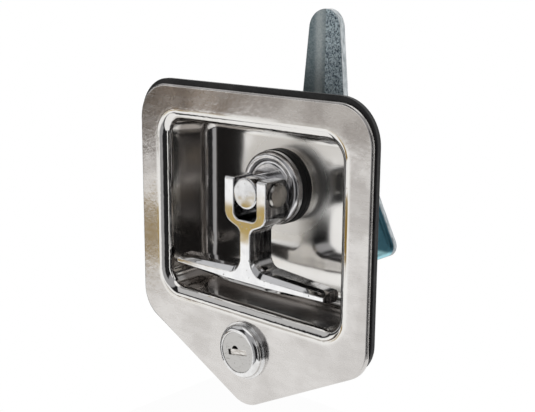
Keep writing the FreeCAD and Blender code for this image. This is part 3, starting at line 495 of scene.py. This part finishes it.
casting_pit_size, plating_haze_size = 0.0011, 0.005
spindle_wave_size = 0.006
spindle_bright, spindle_dull = paint(0.78, 0.78, 0.78), paint(0.62, 0.62, 0.63)
spindle_pit = paint(0.10, 0.10, 0.10)
spindle_look, wire = new_look("spindle_chrome")
place = own_place(wire)
pit = pits(place, casting_pit_size, 0.06)
haze = cloud(place, plating_haze_size, 4.0)
tint = haze.step(0.3, 0.8).mix(spindle_bright, spindle_dull)
surface(wire, {"Base Color": pit.mix(tint, spindle_pit), "Metallic": 1.0,
               "Roughness": pit * 0.3 + (haze * 0.05 + 0.035),
               "Normal": relief(wire, cloud(place, spindle_wave_size, 1.0) - pit * 0.5, 0.00005, 0.0004)})
dress("spindle", spindle_look)
stud_radius, stud_pitch, stud_end_clearance = 0.0048, 0.00125, 0.0006
thread("spindle_thread", "spindle", spindle_look, stud_radius, stud_pitch,
       back_of("cam_nut") + nut_clearance, back_of("spindle") - stud_end_clearance)


# The O-ring in the spindle's groove: black rubber, greased, and almost free of dust.
# It keeps water out of the bushing.
dress("spindle_o_ring", rubber_look("greased_ring_rubber", 0.0004, 0.05))


# The cup: a pressed washer with a rolled rim that the ears slide round on, polished.
# The polishing wheel leaves faint rings and a slightly milky sheen.
cup_ring_pitch, cup_milk_size = 0.0008, 0.004
cup_bright, cup_milky = paint(0.84, 0.84, 0.85), paint(0.62, 0.61, 0.61)
cup_look, wire = new_look("polished_cup")
place = own_place(wire)
rings = turned_rings(place, 0.0, cup_ring_pitch)
milky = cloud(place, cup_milk_size, 4.0)
surface(wire, {"Base Color": milky.step(0.3, 0.75).mix(cup_bright, cup_milky), "Metallic": 1.0,
               "Roughness": milky * 0.14 + (rings * 0.06 + 0.10),
               "Normal": relief(wire, rings, 0.00002, 0.0002)})
dress("cup_washer", cup_look)


# The T-handle: a zinc die casting with a bevelled bar, copper and nickel under bright chrome.
# Buffing has softened its edges and brightened its front. Its flat sides and the tops of its ears are painted
# dark with lighter streaks, a painted reflection of the dim room, picked by which way each face points.
handle_wave_size, side_streak_size = 0.009, 0.0011
buffed_bright, buffed_dull = paint(0.90, 0.90, 0.90), paint(0.80, 0.80, 0.81)
painted_side_shade, painted_side_streak = paint(0.10, 0.10, 0.105), paint(0.42, 0.42, 0.43)
handle_pit = paint(0.06, 0.06, 0.06)
ears_start, ears_full = 0.0, 0.004
handle_look, wire = new_look("handle_chrome")
place = own_place(wire)
# Painted reflection: faces that point sideways, and upward on the ears, get a dark streaked colour and more
# roughness.
face_x, _, face_z = wire.node("ShaderNodeTexCoord", out=1).axes()
shaded_side_face = wire.math("ABSOLUTE", face_x).step(0.80, 0.97)
shaded_top_face = face_z.step(0.80, 0.97) * place.axes()[2].step(ears_start, ears_full) * 0.6
painted_dark_faces = wire.math("MAXIMUM", shaded_side_face, shaded_top_face)
streak = cloud(place.stretch(1.0, 1.0, 0.12), side_streak_size, 4.0).step(0.38, 0.68)
pit = pits(place, casting_pit_size, 0.14)
haze = cloud(place, plating_haze_size, 4.0)
buffed = haze.step(0.3, 0.8).mix(buffed_bright, buffed_dull)
tint = painted_dark_faces.mix(buffed, streak.mix(painted_side_shade, painted_side_streak))
surface(wire, {"Base Color": pit.mix(tint, handle_pit), "Metallic": 1.0,
               "Roughness": pit * 0.3 + painted_dark_faces * 0.08 + (haze * 0.05 + 0.03),
               "Normal": relief(wire, cloud(place, handle_wave_size, 1.0) - pit * 0.5, 0.00005, 0.0005)})
dress("t_handle", handle_look)


# The pivot pin: a steel rivet through both ears and the tongue, its heads turned and chamfered.
# It is left darker than the chrome round it.
dress("pivot_pin", turned_look("pin_steel", (0.56, 0.54, 0.51), (0.30, 0.29, 0.28), 0.10, pitch=0.0005))


# The stop washer: keyed to the spindle's square, its dog runs in the bushing's notch.
# It is plain steel, punched and tumbled.
dress("stop_washer", turned_look("tumbled_stop_washer", (0.55, 0.54, 0.52), (0.38, 0.36, 0.34), 0.26))


# The cam: a long arm folded down its middle and a square-cornered lobe, cut from sheet steel.
# Its zinc is spangled on the arm's right side, streaked on its left with a painted sheen beside the crease,
# smooth and blue on the lobe, and bright on the sheared edges. The lobe's lower edge is turned in a roll, and
# a pale strip painted along it is a painted highlight.
spangle_size, arm_streak_size, edge_streak_size = 0.0007, 0.0025, 0.0016
crease_at, crease_width = -0.0002, 0.0006
sheen_left, sheen_full, sheen_right = -0.0058, -0.0032, -0.0026
highlight_low, highlight_high = -0.0294, -0.0252
lobe_full, lobe_end = -0.004, 0.010
left_dark, left_pale = paint(0.085, 0.13, 0.15), paint(0.42, 0.46, 0.465)
spangle_dark, spangle_pale = paint(0.012, 0.030, 0.055), paint(0.56, 0.67, 0.72)
lobe_blue, painted_highlight_blue = paint(0.065, 0.165, 0.215), paint(0.40, 0.72, 0.80)
edge_grey, edge_pale = paint(0.30, 0.33, 0.34), paint(0.66, 0.69, 0.70)
cam_look, wire = new_look("spangled_zinc_cam")
place = own_place(wire)
x, _, z = place.axes()
facing = wire.node("ShaderNodeTexCoord", out=1).axes()[1]
sheared = wire.math("ABSOLUTE", facing).step(0.25, 0.55, 1.0, 0.0)
flake = wire.node("ShaderNodeTexVoronoi", {}, {"Vector": place, "Scale": 1 / spangle_size})
spangle = cloud(place, spangle_size, 6.0).step(0.36, 0.62) * 0.6 + flake.other("Color").axes()[0] * 0.4
streak = cloud(place.stretch(1.0, 1.0, 0.3), arm_streak_size, 5.0)
# Painted sheen: the arm's left face is painted lighter in a strip just left of the crease.
painted_sheen_band = x.step(sheen_left, sheen_full) * x.step(sheen_right, crease_at, 1.0, 0.35)
left_face = (painted_sheen_band * 0.55 + spangle * 0.30 + streak * 0.30 - 0.05).mix(left_dark, left_pale)
right_face = spangle.mix(spangle_dark, spangle_pale)
arm_face = x.step(crease_at, crease_at + crease_width).mix(left_face, right_face)
# Painted highlight: a pale blue strip across the lobe's front face, along the roll of its lower edge.
painted_roll_highlight = z.step(highlight_high - 0.0004, highlight_high + 0.0012, 1.0, 0.0) * z.step(highlight_low, highlight_low + 0.0010)
painted_roll_highlight = painted_roll_highlight * facing.step(-0.3, 0.0, 1.0, 0.0)
lobe_face = painted_roll_highlight.mix(lobe_blue, painted_highlight_blue)
face_tone = z.step(lobe_full, lobe_end, 1.0, 0.0).mix(arm_face, lobe_face)
edge_streak = cloud(place.stretch(1.0, 4.0, 0.4), edge_streak_size, 3.0).step(0.35, 0.65)
tone = (sheared * 0.85).mix(face_tone, edge_streak.mix(edge_grey, edge_pale))
surface(wire, {"Base Color": tone, "Metallic": 1.0, "Roughness": streak * 0.12 + 0.26,
               "Normal": relief(wire, spangle * 0.7 + streak * 0.4, 0.00005, 0.0006)})
dress("cam_arm", cam_look)


# The cam's plain washer, its spring washer and its nut: punched, wound and pressed steel, zinc plated.
# They come from three makers, so each has its own shade of grey.
dress("cam_washer", zinc_look("plain_washer_zinc", (0.62, 0.63, 0.62), (0.44, 0.44, 0.43), 0.24))
dress("cam_spring_washer", zinc_look("spring_washer_zinc", (0.44, 0.45, 0.46), (0.28, 0.28, 0.29), 0.28))
dress("cam_nut", zinc_look("cam_nut_zinc", (0.60, 0.62, 0.64), (0.42, 0.44, 0.46), 0.20))


# The lock's plug: the turning core with a flat face, a keyway and a square tail.
# Its face is ground, then plated, and keys have scratched it round the keyway.
scratch_size, speck_size, plug_wave_size = 0.0035, 0.0007, 0.0015
plug_grey, plug_scratched = paint(0.53, 0.52, 0.505), paint(0.30, 0.29, 0.28)
plug_speck = paint(0.16, 0.155, 0.15)
plug_look, wire = new_look("ground_plug_face")
place = own_place(wire)
scratch = cloud(place.stretch(1.0, 1.0, 9.0), scratch_size, 4.0).step(0.56, 0.70)
speck = pits(place, speck_size, 0.16)
tint = (scratch * 0.5).mix(plug_grey, plug_scratched)
surface(wire, {"Base Color": (speck * 0.6).mix(tint, plug_speck), "Metallic": 1.0,
               "Roughness": scratch * 0.15 + 0.14,
               "Normal": relief(wire, cloud(place, plug_wave_size, 3.0) - speck, 0.00003, 0.0001)})
dress("lock_plug", plug_look)


# The wafers: thin stamped brass plates in the plug's slots, and the small steel springs beside them.
# They are inside the closed lock, and show only when its core is taken out.
brass_bright, brass_dull = (0.72, 0.52, 0.24), (0.46, 0.32, 0.15)
spring_bright, spring_dull = (0.62, 0.60, 0.58), (0.40, 0.38, 0.37)
dress("lock_wafers", turned_look("stamped_wafer_brass", brass_bright, brass_dull, 0.24, lock_height))
dress("wafer_springs", turned_look("wafer_spring_steel", spring_bright, spring_dull, 0.22, lock_height))


# The dust shutter: a sprung flap of bright steel that closes the keyway behind the plug's face.
# It is rubbed where the key's tip pushes it in.
shutter_rub_size = 0.002
shutter_bright, shutter_rubbed = paint(0.78, 0.76, 0.73), paint(0.46, 0.43, 0.40)
shutter_look, wire = new_look("rubbed_shutter")
place = own_place(wire)
rub = cloud(place.stretch(1.0, 1.0, 5.0), shutter_rub_size, 4.0)
surface(wire, {"Base Color": rub.step(0.4, 0.7).mix(shutter_bright, shutter_rubbed), "Metallic": 1.0,
               "Roughness": rub * 0.2 + 0.12, "Normal": relief(wire, rub, 0.00002, 0.0001)})
dress("dust_shutter", shutter_look)


# The pawl behind the lock: a cranked steel strip that stops the cam's lobe, zinc plated.
# Its plating is a cool grey, near the cam's smooth side.
dress("lock_pawl", zinc_look("pawl_zinc", (0.50, 0.55, 0.57), (0.32, 0.36, 0.38), 0.26, 0.003))


# The pawl's washer, punched from sheet steel, and its slotted pan-head screw, zinc plated.
# The screw clamps the pawl on the plug's square tail.
washer_bright, washer_dull = (0.60, 0.60, 0.59), (0.42, 0.41, 0.40)
dress("pawl_washer", turned_look("pawl_washer_steel", washer_bright, washer_dull, 0.20, lock_height))
dress("pawl_screw", zinc_look("pawl_screw_zinc", (0.64, 0.65, 0.65), (0.45, 0.46, 0.46), 0.18, 0.002))
